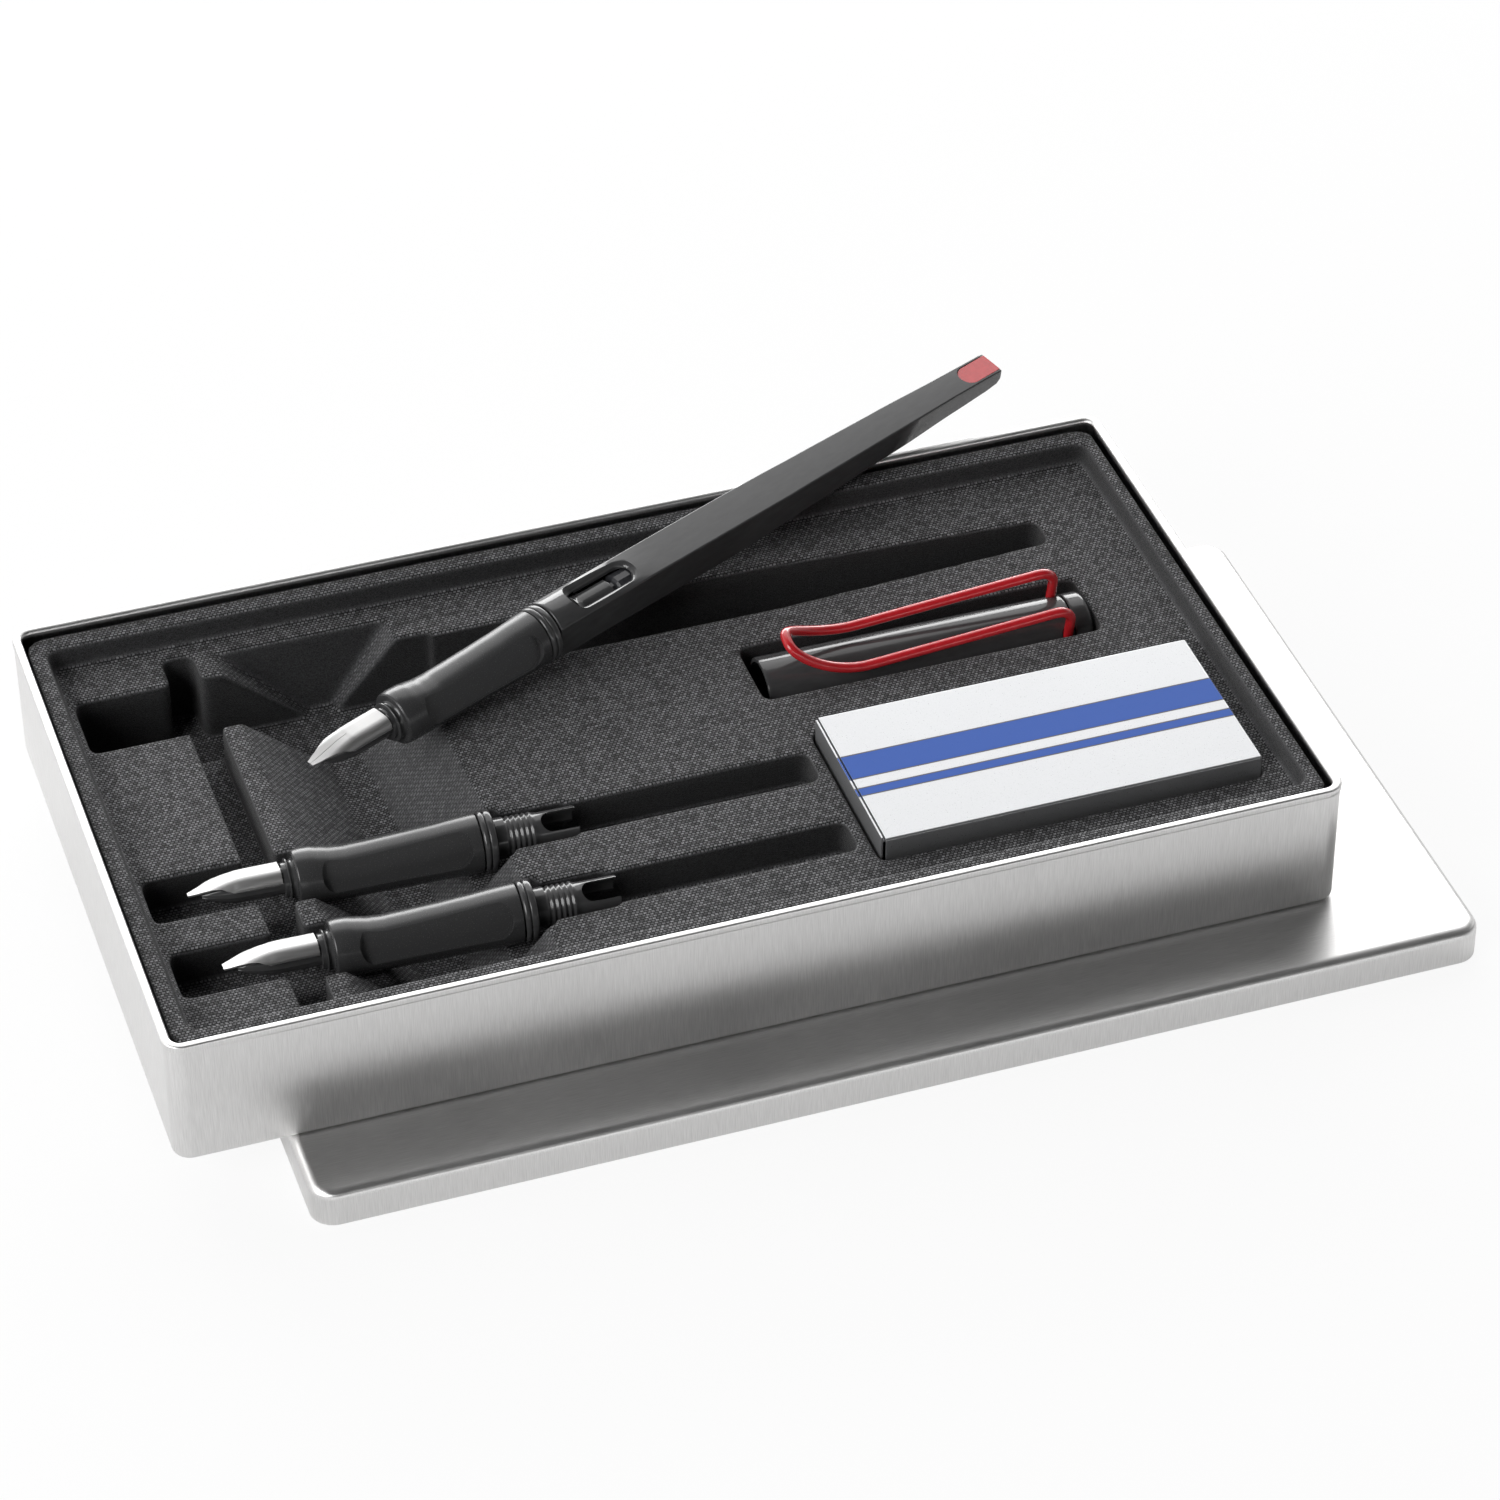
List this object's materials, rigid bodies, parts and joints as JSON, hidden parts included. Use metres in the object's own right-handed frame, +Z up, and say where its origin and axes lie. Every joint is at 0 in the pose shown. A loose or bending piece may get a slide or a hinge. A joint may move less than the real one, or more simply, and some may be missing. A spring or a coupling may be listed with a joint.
{
  "type": "calligraphy set box",
  "caption": "Flat tin box standing on its own lid, with a moulded insert that holds a calligraphy pen, its cap, spare nib units and a carton of cartridges.",
  "frame": {"origin": "centre of the footprint of the whole set, on the surface that the lid stands on", "axes": "+X along the box from the nib end to the carton end, +Y to the back, +Z up"},
  "size_m": [0.2318, 0.15, 0.0405],
  "materials": {
    "tin": "brushed tinplate",
    "flock": "charcoal textured flock",
    "black_gloss": "gloss black",
    "black_satin": "satin dark grey",
    "nib_steel": "polished steel",
    "red": "gloss red",
    "grey_plastic": "matt grey",
    "ink_plastic": "translucent blue ink",
    "card": "silvered card"
  },
  "bodies": {
    "lid": {"lid_shell": "tin"},
    "box": {"box_shell": "tin"},
    "insert": {"insert_tray": "flock"},
    "pen_barrel": {"pen_barrel": "black_gloss", "pen_end_plug": "red"},
    "pen_cartridge": {"pen_cartridge": "ink_plastic"},
    "pen_section": {"pen_collar": "black_gloss", "pen_grip": "black_satin", "pen_ring": "black_gloss", "pen_core": "black_gloss", "pen_feed": "black_gloss"},
    "pen_nib": {"pen_nib": "nib_steel"},
    "section_a": {"section_a_collar": "black_gloss", "section_a_grip": "black_satin", "section_a_ring": "black_gloss", "section_a_core": "black_gloss", "section_a_feed": "black_gloss"},
    "section_a_nib": {"section_a_nib": "nib_steel"},
    "section_b": {"section_b_collar": "black_gloss", "section_b_grip": "black_satin", "section_b_ring": "black_gloss", "section_b_core": "black_gloss", "section_b_feed": "black_gloss"},
    "section_b_nib": {"section_b_nib": "nib_steel"},
    "cap": {"cap_body": "black_gloss", "cap_finial": "black_gloss", "cap_liner": "grey_plastic"},
    "cap_clip": {"cap_clip": "red"},
    "carton": {"carton_sleeve": "card", "carton_flap": "card", "carton_cartridge_1": "ink_plastic", "carton_cartridge_2": "ink_plastic", "carton_cartridge_3": "ink_plastic", "carton_cartridge_4": "ink_plastic", "carton_cartridge_5": "ink_plastic"}
  },
  "joints": [
    {"name": "box_lift", "type": "slide", "parent": "lid", "child": "box", "axis": [0, 0, 1], "range_m": [0, 0.06]},
    {"name": "insert_lift", "type": "slide", "parent": "box", "child": "insert", "axis": [0, 0, 1], "range_m": [0, 0.04]},
    {"name": "pen_lift", "type": "slide", "parent": "insert", "child": "pen_barrel", "axis": [0, 0, 1], "range_m": [0, 0.05]},
    {"name": "pen_section_travel", "type": "slide", "parent": "pen_barrel", "child": "pen_cartridge", "axis": [-0.9151, -0.4017, -0.0347], "range_m": [0, 0.0048]},
    {"name": "pen_section_turn", "type": "hinge", "parent": "pen_cartridge", "child": "pen_section", "pos_m": [-0.02458, 0.02759, 0.03311], "axis": [-0.9151, -0.4017, -0.0347], "range_deg": [0, 1800]},
    {"name": "pen_nib_pull", "type": "slide", "parent": "pen_section", "child": "pen_nib", "axis": [-0.9151, -0.4017, -0.0347], "range_m": [0, 0.015]},
    {"name": "section_a_lift", "type": "slide", "parent": "insert", "child": "section_a", "axis": [0, 0, 1], "range_m": [0, 0.03]},
    {"name": "section_a_nib_pull", "type": "slide", "parent": "section_a", "child": "section_a_nib", "axis": [-0.9995, 0.0314, 0], "range_m": [0, 0.006]},
    {"name": "section_b_lift", "type": "slide", "parent": "insert", "child": "section_b", "axis": [0, 0, 1], "range_m": [0, 0.03]},
    {"name": "section_b_nib_pull", "type": "slide", "parent": "section_b", "child": "section_b_nib", "axis": [-0.9995, 0.0314, 0], "range_m": [0, 0.006]},
    {"name": "cap_lift", "type": "slide", "parent": "insert", "child": "cap", "axis": [0, 0, 1], "range_m": [0, 0.03]},
    {"name": "clip_flex", "type": "hinge", "parent": "cap", "child": "cap_clip", "pos_m": [0.06845, 0.01063, 0.02617], "axis": [0, 0.9703, 0.2419], "range_deg": [0, 4], "stiffness_Nm_per_rad": 4},
    {"name": "carton_lift", "type": "slide", "parent": "insert", "child": "carton", "axis": [0, 0, 1], "range_m": [0, 0.03]}
  ],
  "couplings": [
    {"joint": "pen_section_turn", "follows": "pen_section_travel", "rad_per_m": 6545}
  ]
}
